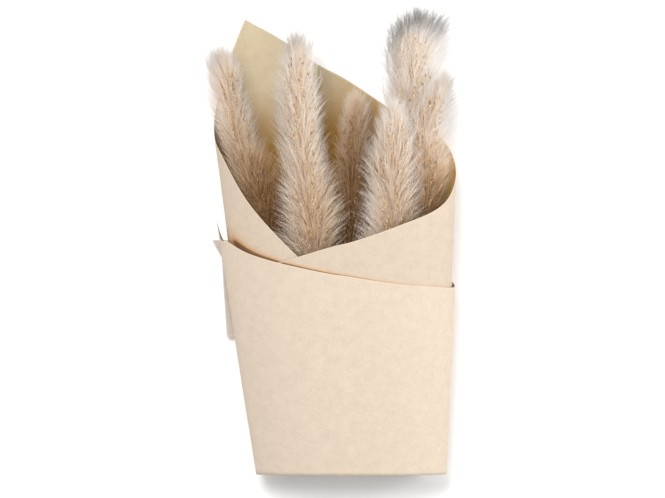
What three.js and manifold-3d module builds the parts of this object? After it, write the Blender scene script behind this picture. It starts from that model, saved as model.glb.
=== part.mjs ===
// A bundle of dried pampas grass: six feathery plumes on their cut culms, rolled into a
// sleeve of two sheets of kraft paper. The bundle lies on its back. X runs across it,
// Y from the cut ends to the plume tips, and Z up from the surface that it rests on.
// All sizes are millimetres.
import * as THREE from 'three';
import { mergeVertices } from 'three/addons/utils/BufferGeometryUtils.js';
import Module from 'manifold-3d';

const wasm = await Module();
wasm.setup();

// ---- Driving dimensions ------------------------------------------------------------

// The sleeve: a tapered roll of oval section, flattened where it lies on the surface.
const SLEEVE_BOTTOM_Y = -226.5;     // the open end round the culms
const MOUTH_Y = 103;                // where the roll is widest, at the left side of the mouth
const BOTTOM_HEIGHT = 64;
const MOUTH_HEIGHT = 106;
const INNER_LEFT = [-72, -115.3];   // at the bottom and at the mouth
const INNER_RIGHT = [110, 122.1];
const OUTER_LEFT = [-75.2, -126.6];
const OUTER_RIGHT = [112, 126.4];
const OVAL_POWER = 2.3;             // 2 is an ellipse, more is squarer
const INNER_DIP = 4;                // how far each oval would sink, which makes the flat strip
const OUTER_DIP = 6.5;

// The paper, drawn thicker than it is so that each sheet is a solid.
const PAPER_THICKNESS = 0.7;
const LAYER_PITCH = 1.3;            // from one layer's outer face to the next one's
const BAND_LIFT = 2.2;              // the outer sheet's front stands this far over the inner one
const LAYER_TURN = 90;              // degrees over which a roll moves in by one layer
const INNER_STEP_TURN = 150;        // where each sheet starts to do so
const OUTER_STEP_TURN = 450;
const DROP_Y = 12;                  // from here up the inner sheet comes down to the surface,
const DROP_LENGTH = 60;             // over this length

// The inner sheet is a square laid cornerwise: its top corner is the tall back panel's tip.
// Turns are degrees round the sleeve: 90 front, 180 left, 270 back, 360 right, 450 front.
const APEX_TURN = 232.5;
const LEFT_EDGE = [                 // turn, height of the cut edge
  [60, -112], [110, -14], [141, 42], [162, 83], [180, 103], [206, 147], [APEX_TURN, 215.7],
];
const RIGHT_EDGE = [
  [APEX_TURN, 215.7], [265, 175], [293, 132.5], [332, 98], [360, 67], [386, 38.5],
  [423, 15.3], [470, -14.7], [502.5, -28],
];
const INNER_BOTTOM_Y = -222;
const COLUMN_TURN = 7.5;            // degrees from one column of the paper to the next
const INNER_ROWS = 8;

// The outer sheet is a lower band. Its free end lies flat and sticks out at the left.
const BAND_EDGE = [
  [240, 2], [285, -12], [360, -42.5], [405, -43], [431, -39], [470, -23.5],
  [498, -10.7], [517, 0.4], [531, 3.3], [540, 19], [549, 8], [562.5, -8], [577.5, -14],
];
const FLAP_COLUMNS = 4;
const BAND_ROWS = [0, 0.29, 0.574, 0.584, 0.8, 0.926, 1];    // shares of the band's height
const FLAP_EDGE_X = [-60, -60, -60, -103, -106.3, -107.8, -117.6];   // free end, at each row
const FLAP_WIDTH = 50;
const FLAP_CURL = 6;                // how far the free end lifts off the surface at that width

// The plumes. Each axis runs from the tip down to the foot of the head: x, y, z.
// reach is how far the hair stands out from the axis, crown how broad the very tip is, and
// cut the x and z of the culm's cut end in the sleeve.
const PLUMES = [
  { axis: [[-113, 190, 50], [-104.5, 148, 50], [-94, 109, 50], [-80, 62, 48], [-56, -8, 44],
           [-44, -44, 40]], reach: 25.5, crown: 0.4, cut: [6, 4.9] },
  { axis: [[-34, 203.5, 56], [-31, 157, 62], [-29, 128, 65], [-26, 89, 67], [-20, 32, 66],
           [-10, -50, 56]], reach: 31, crown: 0.35, cut: [9.5, 8.9] },
  { axis: [[23, 147, 26], [20, 110, 27], [17.5, 41, 29], [15, -6, 31], [14, -48, 31]],
    reach: 26, crown: 0.45, cut: [13, 4.9] },
  { axis: [[61, 139, 60], [61, 109, 64], [59.5, 60, 66], [58, 7, 65], [52, -48, 57]],
    reach: 34, crown: 0.45, cut: [16.5, 8.9] },
  { axis: [[84, 226.5, 38], [80.5, 185, 38], [78, 138, 36], [74, 99, 33], [66, 40, 30],
           [58, -50, 30]], reach: 37, crown: 0.85, cut: [20, 4.9] },
  { axis: [[109, 168, 52], [104, 147, 53], [93, 119, 52], [91, 41, 49], [84, -44, 42]],
    reach: 32, crown: 0.3, cut: [27, 4.9] },
];

const CULM_RADIUS = 2.5;
const CULM_BOTTOM_Y = -221;
const CULM_SIDES = 8;
const CULM_STEPS = 5;
const CULM_BEND = 60;               // the reach of the bend's handles
const CULM_NECK = 4;                // a straight piece right under the head
const HEAD_GAP = 0.3;               // from a culm's top to the foot of its head

// The panicle branches, thickened into tufts.
const BRANCH_STEP = 2.7;            // along the axis, from one branch's root to the next
const BRANCH_LENGTH = 52;
const BRANCH_RADIUS = 3.6;          // at its widest, halfway
const ROOT_RADIUS = 0.7;
const BRANCH_SIDES = 3;
const MIDWAY = 0.42;                // its widest ring's share of the branch's length
const MIDWAY_REACH = 0.74;          // and of its reach, so that it bends up from there
const GOLDEN_TURN = 137.5;
const SPINE_RADII = [2.6, 3.6, 3.4, 3.2, 2.8, 2.2, 1.6];
const SPINE_SIDES = 4;
const SPINE_SHORT = 20;             // the spine ends this far below the hair's tip

const BRANCH_SPREAD = 16;           // degrees
const LENGTH_SPREAD = [0.85, 1.15];
const REACH_SPREAD = [0.9, 1];
const FRONT_REACH = 0.18;           // more at the front, where nothing presses on the hair
const FIRST_ROOT = 4;               // above the foot of the head
const LAST_ROOT = 8;                // below the spine's end
const FIRST_SEED = 911;
const SEED_STEP = 37;

// The outline that the branches fill.
const CROWN_LENGTH = 62;            // below the tip it widens over this length
const TIP_ROUND = 16;
const FOOT_LENGTH = 70;             // and narrows over this one to a share of it at the foot
const FOOT_SHARE = 0.45;

// Clearances of a branch from its neighbours and from the paper.
const NEIGHBOUR_GAP = 0.45;
const TIP_GAP = 4;                  // a plume's tip leaves the room above it to the others
const WALL_GAP = 0.6;
const SEARCH_STEP = 0.04;           // a branch is shortened by this share until it is clear
const TESTED_PARTS = [0.15, 0.3, 0.45, 0.6, 0.8, 1];    // where along a branch it is tested
const EDGE_FLARE = 0.3;             // how fast the hair may spread once it is past the paper's edge

const DEGREE = Math.PI / 180;
const { clamp, lerp, euclideanModulo } = THREE.MathUtils;

// ---- Small tools -------------------------------------------------------------------

// A smooth curve through [key, value] pairs, flat outside them.
function curveThrough(pairs) {
  const keys = pairs.map((pair) => pair[0]);
  const values = pairs.map((pair) => pair[1]);
  const curve = new THREE.CubicInterpolant(keys, values, 1);
  return (key) => curve.evaluate(key)[0];
}

// A seeded draw from 0 to 1, the same on each run.
function seededDraw(seed) {
  let state = seed;
  return () => {
    state = (Math.imul(state, 1664525) + 1013904223) >>> 0;
    return state / 2 ** 32;
  };
}

function roundedPower(value, power) {
  return Math.sign(value) * Math.abs(value) ** power;
}

function solidOf(positions, triangles) {
  const mesh = new wasm.Mesh({
    numProp: 3,
    vertProperties: new Float32Array(positions),
    triVerts: new Uint32Array(triangles),
  });
  return new wasm.Manifold(mesh);
}

function geometryOf(positions, triangles) {
  const geometry = new THREE.BufferGeometry();
  geometry.setAttribute('position', new THREE.Float32BufferAttribute(positions, 3));
  geometry.setIndex(Array.from(triangles));
  return mergeVertices(geometry);
}

function addNode(group, name, geometry, material) {
  const mesh = new THREE.Mesh(geometry, material);
  mesh.name = name;
  group.add(mesh);
}

// ---- The sleeve's section ----------------------------------------------------------

// The oval of one sheet at height y: its sides, top and bottom.
function ovalAt(y, [leftLow, leftHigh], [rightLow, rightHigh], lift, floor, dip) {
  const share = (y - SLEEVE_BOTTOM_Y) / (MOUTH_Y - SLEEVE_BOTTOM_Y);
  const left = lerp(leftLow, leftHigh, share);
  const right = lerp(rightLow, rightHigh, share);
  const top = lerp(BOTTOM_HEIGHT, MOUTH_HEIGHT, share) + lift;
  const low = floor - dip;
  return {
    centreX: (left + right) / 2,
    centreZ: (top + low) / 2,
    halfWidth: (right - left) / 2,
    halfHeight: (top - low) / 2,
    floor,
  };
}

// The inner sheet lies on the outer one, and beyond it comes down to the surface.
const innerFloor = (y) => LAYER_PITCH * (1 - clamp((y - DROP_Y) / DROP_LENGTH, 0, 1));
const innerOval = (y) => ovalAt(y, INNER_LEFT, INNER_RIGHT, 0, innerFloor(y), INNER_DIP);
const outerOval = (y) => ovalAt(y, OUTER_LEFT, OUTER_RIGHT, BAND_LIFT, 0, OUTER_DIP);

// A point of the oval, inset towards its middle.
function ovalPoint(oval, turn, inset) {
  const across = roundedPower(Math.cos(turn * DEGREE), 2 / OVAL_POWER);
  const up = roundedPower(Math.sin(turn * DEGREE), 2 / OVAL_POWER);
  const x = oval.centreX + (oval.halfWidth - inset) * across;
  const z = oval.centreZ + (oval.halfHeight - inset) * up;
  return [x, Math.max(z, oval.floor + inset)];
}

// The turn of the oval's point that lies in the same direction as a point inside it.
function turnOf(oval, x, z) {
  const across = roundedPower((x - oval.centreX) / oval.halfWidth, OVAL_POWER / 2);
  const up = roundedPower((z - oval.centreZ) / oval.halfHeight, OVAL_POWER / 2);
  return euclideanModulo(Math.atan2(up, across) / DEGREE, 360);
}

// ---- The two sheets ----------------------------------------------------------------

// A sheet is a grid of columns and rows, with an outer and an inner face joined at the rim.
// pointAt(column, row, depth) gives a point, depth running from the outer face inwards.
function sheetGeometry(columns, rows, pointAt) {
  const positions = [];
  for (const depth of [0, PAPER_THICKNESS]) {
    for (let column = 0; column <= columns; column += 1) {
      for (let row = 0; row <= rows; row += 1) positions.push(...pointAt(column, row, depth));
    }
  }
  const faceSize = (columns + 1) * (rows + 1);
  const corner = (column, row) => column * (rows + 1) + row;
  const triangles = [];
  const addQuad = (a, b, c, d) => triangles.push(a, b, c, a, c, d);
  for (let column = 0; column < columns; column += 1) {
    for (let row = 0; row < rows; row += 1) {
      const ring = [corner(column, row), corner(column, row + 1),
        corner(column + 1, row + 1), corner(column + 1, row)];
      addQuad(...ring);
      const [a, b, c, d] = ring.map((index) => index + faceSize);
      triangles.push(a, c, b, a, d, c);
    }
  }
  const rim = [];
  for (let column = 0; column < columns; column += 1) rim.push(corner(column, 0));
  for (let row = 0; row < rows; row += 1) rim.push(corner(columns, row));
  for (let column = columns; column > 0; column -= 1) rim.push(corner(column, rows));
  for (let row = rows; row > 0; row -= 1) rim.push(corner(0, row));
  rim.forEach((start, place) => {
    const end = rim[(place + 1) % rim.length];
    addQuad(start, end, end + faceSize, start + faceSize);
  });
  return geometryOf(positions, triangles);
}

const leftEdge = curveThrough(LEFT_EDGE);
const rightEdge = curveThrough(RIGHT_EDGE);
const innerEdge = (turn) => (turn < APEX_TURN ? leftEdge(turn) : rightEdge(turn));

// The left flap lies under the right one, so the roll moves in by one layer as it comes up
// round the left side.
const innerInset = (turn) => LAYER_PITCH * (1 - clamp((turn - INNER_STEP_TURN) / LAYER_TURN, 0, 1));

function innerSheet() {
  const [firstTurn] = LEFT_EDGE[0];
  const [lastTurn] = RIGHT_EDGE.at(-1);
  const columns = (lastTurn - firstTurn) / COLUMN_TURN;
  return sheetGeometry(columns, INNER_ROWS, (column, row, depth) => {
    const turn = firstTurn + column * COLUMN_TURN;
    const y = lerp(INNER_BOTTOM_Y, innerEdge(turn), row / INNER_ROWS);
    const [x, z] = ovalPoint(innerOval(y), turn, innerInset(turn) + depth);
    return [x, y, z];
  });
}

const bandEdge = curveThrough(BAND_EDGE);

// The band starts at its flat free end and rolls over the right side, the front and the left
// side, to end tucked in under the bundle, one layer further in.
const bandInset = (turn) => LAYER_PITCH * clamp((turn - OUTER_STEP_TURN) / LAYER_TURN, 0, 1);

function outerSheet() {
  const [firstTurn] = BAND_EDGE[0];
  const [lastTurn] = BAND_EDGE.at(-1);
  const columns = FLAP_COLUMNS + (lastTurn - firstTurn) / COLUMN_TURN;
  return sheetGeometry(columns, BAND_ROWS.length - 1, (column, row, depth) => {
    const turn = firstTurn + Math.max(0, column - FLAP_COLUMNS) * COLUMN_TURN;
    const y = lerp(SLEEVE_BOTTOM_Y, bandEdge(turn), BAND_ROWS[row]);
    const [x, z] = ovalPoint(outerOval(y), turn, bandInset(turn) + depth);
    const outward = Math.max(0, 1 - column / FLAP_COLUMNS);
    const width = (x - FLAP_EDGE_X[row]) * outward;
    return [x - width, y, z + FLAP_CURL * (width / FLAP_WIDTH) ** 2];
  });
}

// ---- The plumes --------------------------------------------------------------------

// No limb runs along this direction, so that it can set where a limb's first side is.
const SIDEWAYS = new THREE.Vector3(0.3, 0, 1);

// A round limb through points, tapered by the radii, flat at its start. Where the last
// radius is nothing it ends in a point.
function limb(points, radii, sides) {
  const positions = [];
  const triangles = [];
  const pointed = radii.at(-1) === 0;
  const rings = pointed ? points.length - 1 : points.length;
  for (let ring = 0; ring < rings; ring += 1) {
    const before = points[Math.max(ring - 1, 0)];
    const after = points[Math.min(ring + 1, points.length - 1)];
    const along = new THREE.Vector3().subVectors(after, before).normalize();
    const across = SIDEWAYS.clone().cross(along).normalize();
    const third = new THREE.Vector3().crossVectors(along, across);
    for (let side = 0; side < sides; side += 1) {
      const angle = (side / sides) * 2 * Math.PI;
      const point = points[ring].clone()
        .addScaledVector(across, radii[ring] * Math.cos(angle))
        .addScaledVector(third, radii[ring] * Math.sin(angle));
      positions.push(...point);
    }
  }
  for (let ring = 0; ring + 1 < rings; ring += 1) {
    for (let side = 0; side < sides; side += 1) {
      const a = ring * sides + side;
      const b = ring * sides + ((side + 1) % sides);
      triangles.push(a, b, b + sides, a, b + sides, a + sides);
    }
  }
  for (let side = 1; side + 1 < sides; side += 1) triangles.push(0, side + 1, side);
  const last = (rings - 1) * sides;
  if (pointed) {
    positions.push(...points.at(-1));
    for (let side = 0; side < sides; side += 1) {
      triangles.push(last + side, last + ((side + 1) % sides), rings * sides);
    }
  } else {
    for (let side = 1; side + 1 < sides; side += 1) {
      triangles.push(last, last + side, last + side + 1);
    }
  }
  return { positions, triangles };
}

// Each plume's axis as x and z by height, from the foot of the head to the tip.
const axes = PLUMES.map(({ axis }) => {
  const upwards = [...axis].reverse();
  const xAt = curveThrough(upwards.map(([x, y]) => [y, x]));
  const zAt = curveThrough(upwards.map(([, y, z]) => [y, z]));
  return { xAt, zAt, footY: upwards[0][1], tipY: axis[0][1] };
});

const pointOnAxis = (axis, y) => new THREE.Vector3(axis.xAt(y), y, axis.zAt(y));

// The points of the spine that all the branches of a head grow from, foot first.
function spineOf(axis) {
  const endY = axis.tipY - SPINE_SHORT;
  const steps = SPINE_RADII.length;
  return [...SPINE_RADII, 0].map((_, step) => pointOnAxis(axis, lerp(axis.footY, endY, step / steps)));
}

// Whether a ball of the given radius round a point belongs to plume number `own`: nearer its
// axis than any other's, above the surface and inside the paper.
function isFree(own, point, radius) {
  const { x, y, z } = point;
  if (z < radius + WALL_GAP) return false;
  const mine = Math.hypot(x - axes[own].xAt(y), z - axes[own].zAt(y));
  const crowded = axes.some((axis, index) => {
    if (index === own || y > axis.tipY + TIP_GAP) return false;
    const theirs = Math.hypot(x - axis.xAt(y), z - axis.zAt(y));
    const apart = Math.hypot(axes[own].xAt(y) - axis.xAt(y), axes[own].zAt(y) - axis.zAt(y));
    return (theirs ** 2 - mine ** 2) / (2 * apart) < radius + NEIGHBOUR_GAP;
  });
  if (crowded) return false;
  const oval = innerOval(y);
  const turn = turnOf(oval, x, z);
  const paperTop = turn < APEX_TURN ? Math.max(leftEdge(turn), rightEdge(turn + 360)) : rightEdge(turn);
  const past = Math.max(0, y - paperTop);
  const inset = LAYER_PITCH + PAPER_THICKNESS + WALL_GAP + radius - EDGE_FLARE * past;
  const across = Math.abs((x - oval.centreX) / (oval.halfWidth - inset)) ** OVAL_POWER;
  const up = Math.abs((z - oval.centreZ) / (oval.halfHeight - inset)) ** OVAL_POWER;
  const onPaper = past > 0 || z > oval.floor + inset;
  return across + up < 1 && onPaper;
}

// The furthest point in a direction round the axis that a straight taper from `start` can
// reach, at most `reach` out, at height y.
function reachFrom(own, start, y, angle, reach, [startRadius, endRadius]) {
  const end = new THREE.Vector3();
  for (let share = 1; share > SEARCH_STEP / 2; share -= SEARCH_STEP) {
    end.set(
      axes[own].xAt(y) + reach * share * Math.cos(angle),
      y,
      axes[own].zAt(y) + reach * share * Math.sin(angle),
    );
    const clear = TESTED_PARTS.every((part) => isFree(
      own, start.clone().lerp(end, part), lerp(startRadius, endRadius, part)));
    if (clear) break;
  }
  return end;
}

// The hair's outline: round at the tip and at the foot, full in between.
function outlineAt(plume, y, { footY, tipY }) {
  const crown = lerp(plume.crown, 1, Math.min(1, (tipY - y) / CROWN_LENGTH));
  const round = Math.sqrt(Math.max(0, 1 - Math.max(0, 1 - (tipY - y) / TIP_ROUND) ** 2));
  const foot = Math.min(1, FOOT_SHARE + (y - footY) / FOOT_LENGTH);
  return plume.reach * crown * round * foot;
}

function headSolid(plume, own) {
  const draw = seededDraw(FIRST_SEED + own * SEED_STEP);
  const axis = axes[own];
  const spinePoints = spineOf(axis);
  const spine = limb(spinePoints, [...SPINE_RADII, 0], SPINE_SIDES);
  let solid = solidOf(spine.positions, spine.triangles);
  const firstRoot = axis.footY + FIRST_ROOT;
  const lastRoot = spinePoints.at(-1).y - LAST_ROOT;
  const count = Math.round((lastRoot - axis.footY) / BRANCH_STEP);
  for (let index = 0; index < count; index += 1) {
    const rootY = lerp(firstRoot, lastRoot, index / count);
    const angle = (index * GOLDEN_TURN + (draw() - 0.5) * BRANCH_SPREAD) * DEGREE;
    const length = Math.min(BRANCH_LENGTH * lerp(...LENGTH_SPREAD, draw()), axis.tipY - rootY);
    const tipY = rootY + length;
    const front = 1 + FRONT_REACH * Math.max(0, Math.sin(angle));
    const reach = outlineAt(plume, tipY, axis) * lerp(...REACH_SPREAD, draw()) * front;
    const root = pointOnAxis(axis, rootY);
    const middle = reachFrom(own, root, rootY + length * MIDWAY, angle, reach * MIDWAY_REACH,
      [BRANCH_RADIUS, BRANCH_RADIUS]);
    const tip = reachFrom(own, middle, tipY, angle, reach, [BRANCH_RADIUS, 0]);
    const branch = limb([root, middle, tip], [ROOT_RADIUS, BRANCH_RADIUS, 0], BRANCH_SIDES);
    solid = solid.add(solidOf(branch.positions, branch.triangles));
  }
  const { vertProperties, triVerts } = solid.getMesh();
  return geometryOf(vertProperties, triVerts);
}

// A culm runs from just under its head, in line with the spine there, down a gentle bend to
// its cut end in the sleeve.
function culm(plume, own) {
  const [foot, above] = spineOf(axes[own]);
  const rise = above.clone().sub(foot).normalize();
  const top = foot.clone().addScaledVector(rise, -HEAD_GAP);
  const cut = new THREE.Vector3(plume.cut[0], CULM_BOTTOM_Y, plume.cut[1]);
  const bend = new THREE.CubicBezierCurve3(
    cut,
    cut.clone().add(new THREE.Vector3(0, CULM_BEND, 0)),
    top.clone().addScaledVector(rise, -CULM_BEND),
    top.clone().addScaledVector(rise, -CULM_NECK),
  );
  const points = [...bend.getPoints(CULM_STEPS), top];
  const { positions, triangles } = limb(points, points.map(() => CULM_RADIUS), CULM_SIDES);
  return geometryOf(positions, triangles);
}

// ---- The bundle --------------------------------------------------------------------

const kraftPaper = new THREE.MeshStandardMaterial({ color: 0xead7bf, roughness: 0.85 });
const kraftBand = new THREE.MeshStandardMaterial({ color: 0xe6d2b8, roughness: 0.85 });
const plumeHair = new THREE.MeshStandardMaterial({ color: 0xd2bca8, roughness: 0.9 });
const driedCulm = new THREE.MeshStandardMaterial({ color: 0xc4a468, roughness: 0.6 });

const bundle = new THREE.Group();
addNode(bundle, 'wrap_inner', innerSheet(), kraftPaper);
addNode(bundle, 'wrap_outer', outerSheet(), kraftBand);
PLUMES.forEach((plume, own) => {
  addNode(bundle, `plume_${own + 1}_head`, headSolid(plume, own), plumeHair);
  addNode(bundle, `plume_${own + 1}_culm`, culm(plume, own), driedCulm);
});

export default bundle;
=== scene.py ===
import bpy
import numpy as np
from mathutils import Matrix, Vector
from mathutils.kdtree import KDTree as PointTree


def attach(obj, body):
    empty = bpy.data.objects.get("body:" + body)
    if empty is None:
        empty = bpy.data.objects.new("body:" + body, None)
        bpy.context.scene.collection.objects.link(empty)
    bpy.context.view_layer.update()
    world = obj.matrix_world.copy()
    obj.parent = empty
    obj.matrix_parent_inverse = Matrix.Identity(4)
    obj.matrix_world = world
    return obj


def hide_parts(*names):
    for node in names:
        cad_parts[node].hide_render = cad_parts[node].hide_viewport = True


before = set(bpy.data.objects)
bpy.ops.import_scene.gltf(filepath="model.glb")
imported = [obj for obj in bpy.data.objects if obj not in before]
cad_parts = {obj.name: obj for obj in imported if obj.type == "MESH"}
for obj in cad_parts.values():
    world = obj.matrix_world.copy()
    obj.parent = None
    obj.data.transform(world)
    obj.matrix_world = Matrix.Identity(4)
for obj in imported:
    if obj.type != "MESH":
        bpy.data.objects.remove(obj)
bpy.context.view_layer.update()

# ---- Inner sheet ---------------------------------------------------------------------
# A square of light kraft paper, uncoated, laid cornerwise under the stems and rolled round
# them: left flap over the front first, right flap over it. Its top corner stands as the tall
# back panel.

# Sizes are millimetres. Turns are degrees round the roll: 90 is the front, 180 the left side,
# 270 the back, 360 the right side and 450 the front again.
MM = 0.001                      # metres
SLEEVE_BOTTOM_Y = -226.5
MOUTH_Y = 103.0
BOTTOM_HEIGHT, MOUTH_HEIGHT = 64.0, 106.0
INNER_LEFT, INNER_RIGHT = (-72.0, -115.3), (110.0, 122.1)   # at the bottom and at the mouth
OVAL_POWER = 2.3                # 2 is an ellipse, more is squarer
INNER_DIP = 4.0                 # how far the oval would sink without its flat underside
LAYER_PITCH = 1.3               # from one layer's outer face to the next one's
ON_TABLE_Y, ON_BAND_Y = 72.0, 12.0      # it comes down to the table between these heights
LEFT_FLAP_TURNS = (240.0, 150.0)        # over which the left flap dips under the right one
APEX_TURN = 232.5
LEFT_EDGE = (
    (60, -112), (110, -14), (141, 42), (162, 83), (180, 103), (206, 147), (224, 193),
    (APEX_TURN, 218.5),
)
RIGHT_EDGE = (
    (APEX_TURN, 218.5), (249, 201), (265, 175), (293, 132.5), (332, 98), (360, 67), (386, 38.5),
    (423, 15.3), (470, -14.7), (502.5, -28),
)
INNER_BOTTOM_Y = -222.0
SHEET_THICKNESS = 0.5           # drawn thicker than real paper, so that the cut edge shows
TABLE_GAP = 0.05
COLUMN_TURN = 1.25
EDGE_SPAN = 500.0               # the height below the cut edge that v runs over
# The waves of a hand-rolled sheet: height, waves in a turn, their slant and its start, and the
# length and start of the swell along the sleeve.
WAVES = ((0.22, 3, 31, 0, 47, 1.1), (0.12, 7, -23, 0.6, 19, 0))


def fade(value, start, end):
    """0 at start, 1 at end, even between them and level past them. Either may be the higher."""
    return np.clip((value - start) / (end - start), 0, 1)


def smooth_curve(pairs):
    """A cubic through (key, value) pairs whose slope is the mean of its two neighbours'."""
    keys, values = (np.array(side, float) for side in zip(*pairs))
    secants = np.diff(values) / np.diff(keys)
    slopes = np.concatenate(([secants[0]], (secants[1:] + secants[:-1]) / 2, [secants[-1]]))

    def curve(key):
        key = np.clip(np.asarray(key, float), keys[0], keys[-1])
        place = np.clip(np.searchsorted(keys, key, side="right") - 1, 0, len(keys) - 2)
        width = keys[place + 1] - keys[place]
        share = (key - keys[place]) / width
        rise = share * share * (3 - 2 * share)
        lead = share * (1 - share) ** 2 * slopes[place] * width
        trail = share * share * (share - 1) * slopes[place + 1] * width
        return values[place] * (1 - rise) + values[place + 1] * rise + lead + trail

    return curve


def rounded_power(value, power):
    return np.sign(value) * np.abs(value) ** power


def oval_at(y, left, right, lift, floor, dip):
    """Centre x and z, half width, half height and underside of a sheet's oval at height y."""
    share = (y - SLEEVE_BOTTOM_Y) / (MOUTH_Y - SLEEVE_BOTTOM_Y)
    low_x = left[0] + (left[1] - left[0]) * share
    high_x = right[0] + (right[1] - right[0]) * share
    top = BOTTOM_HEIGHT + (MOUTH_HEIGHT - BOTTOM_HEIGHT) * share + lift
    low = floor - dip
    return (low_x + high_x) / 2, (top + low) / 2, (high_x - low_x) / 2, (top - low) / 2, floor


def oval_point(oval, turn, inset):
    centre_x, centre_z, half_width, half_height, floor = oval
    across = rounded_power(np.cos(np.radians(turn)), 2 / OVAL_POWER)
    up = rounded_power(np.sin(np.radians(turn)), 2 / OVAL_POWER)
    x = centre_x + (half_width - inset) * across
    z = centre_z + (half_height - inset) * up
    return x, np.maximum(z, floor + inset)


def inner_oval(y):
    """The inner sheet lies on the outer one, and past it comes down to the table."""
    floor = LAYER_PITCH * fade(y, ON_TABLE_Y, ON_BAND_Y)
    return oval_at(y, INNER_LEFT, INNER_RIGHT, 0, floor, INNER_DIP)


def buckle(turn, y):
    """How far a sheet's faint waves stand out, in mm, alike for all layers at one place."""
    a = np.radians(turn)
    return sum(height * np.sin(count * a + y / slant + start) * np.sin(y / length + swell_start)
               for height, count, slant, start, length, swell_start in WAVES)


def mesh_piece(name, points, faces, uv, materials, face_slots=None, smooth=True):
    """A piece from points in millimetres, faces with equally many sides and a UV for each point."""
    faces = np.asarray(faces, np.int32)
    mesh = bpy.data.meshes.new(name)
    mesh.vertices.add(len(points))
    mesh.vertices.foreach_set("co", (np.asarray(points) * MM).astype(np.float32).ravel())
    mesh.loops.add(faces.size)
    mesh.loops.foreach_set("vertex_index", faces.ravel())
    mesh.polygons.add(len(faces))
    mesh.polygons.foreach_set("loop_start", np.arange(0, faces.size, faces.shape[1], dtype=np.int32))
    mesh.update(calc_edges=True)
    layer = mesh.uv_layers.new(name="OFBake")
    layer.data.foreach_set("uv", np.asarray(uv, np.float32)[faces.ravel()].ravel())
    for material in materials:
        mesh.materials.append(material)
    if face_slots is not None:
        mesh.polygons.foreach_set("material_index", np.asarray(face_slots, np.int32))
    mesh.polygons.foreach_set("use_smooth", np.full(len(faces), smooth))
    piece = bpy.data.objects.new(name, mesh)
    bpy.context.collection.objects.link(piece)
    return piece


def sheet_piece(name, turns, rows, point_at, outside, inside, shade_at=None):
    """A sheet with both its faces and its cut edge. point_at(turn, share of the height, depth)
    gives x, y, z and the mm to the top edge. shade_at(turn, x, y, depth) gives how much painted
    shade and how much painted light a point gets, each from 0 to 1."""
    turn, share = np.meshgrid(turns, rows, indexing="ij")
    points, uv, shade = [], [], []
    for depth in (0.0, SHEET_THICKNESS):
        x, y, z, to_edge = point_at(turn, share, depth)
        points.append(np.stack([x, y, z], -1).reshape(-1, 3))
        shade.append(np.reshape(shade_at(turn, x, y, depth), (2, -1)) if shade_at else ())
        along = (turn - turns[0]) / (turns[-1] - turns[0])
        uv.append(np.stack([along, 1 - fade(to_edge, 0, EDGE_SPAN)], -1).reshape(-1, 2))
    columns, count = turn.shape
    corner = np.arange(columns * count).reshape(columns, count)
    quad = np.stack([corner[:-1, :-1], corner[:-1, 1:], corner[1:, 1:], corner[1:, :-1]], -1)
    quad = quad.reshape(-1, 4)
    back = quad[:, ::-1] + columns * count
    rim = np.concatenate([corner[:-1, 0], corner[-1, :-1], corner[:0:-1, -1], corner[0, :0:-1]])
    after = np.roll(rim, -1)
    side = np.stack([rim, after, after + columns * count, rim + columns * count], -1)
    faces = np.concatenate([quad, back, side])
    slots = np.repeat([0, 1, 0], [len(quad), len(back), len(side)])
    piece = mesh_piece(name, np.concatenate(points), faces, np.concatenate(uv), [outside, inside], slots)
    if shade_at:
        for attribute, values in zip(("shade", "painted_glow"), np.concatenate(shade, axis=1)):
            layer = piece.data.attributes.new(attribute, "FLOAT", "POINT")
            layer.data.foreach_set("value", values.astype(np.float32))
    return piece


def linear(hex_colour):
    """An sRGB hex colour as the linear colour that a shader takes."""
    parts = [int(hex_colour[i:i + 2], 16) / 255 for i in (1, 3, 5)]
    return [p / 12.92 if p <= 0.04045 else ((p + 0.055) / 1.055) ** 2.4 for p in parts] + [1.0]


def add_node(tree, kind, settings=(), links=()):
    """A shader node with its properties and socket values set, and its inputs linked."""
    node = tree.nodes.new(kind)
    for key, value in dict(settings).items():
        if key in node.inputs:
            node.inputs[key].default_value = value
        else:
            setattr(node, key, value)
    for key, source in dict(links).items():
        tree.links.new(source, node.inputs[key])
    return node


def shading(name):
    """A new material and its empty node tree."""
    material = bpy.data.materials.new(name)
    material.use_nodes = True
    tree = material.node_tree
    tree.nodes.clear()
    return material, tree


def ramp_colours(node, stops):
    """Sets a colour ramp's stops from (place, hex colour) pairs."""
    elements = node.color_ramp.elements
    while len(elements) < len(stops):
        elements.new(0.5)
    for element, (place, colour) in zip(elements, stops):
        element.position = place
        element.color = linear(colour)


CLOUD_WIDTH, FLECK_WIDTH, MOTTLE_WIDTH = 2.381, 3.846, 9.09
CLOUD_TONES, MOTTLE_TONES = (0.94, 1.04), (0.955, 1.035)
NOISE_RANGE = (0.3, 0.7)        # where nearly all values of a noise lie
FLECK_RANGE = (0.68, 0.76)      # only the highest values make a fleck
FLECK_STRENGTH = 0.35
CUT_EDGE = (1.3, 0.3)           # below the edge, where its paler line starts and where it is full


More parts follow.
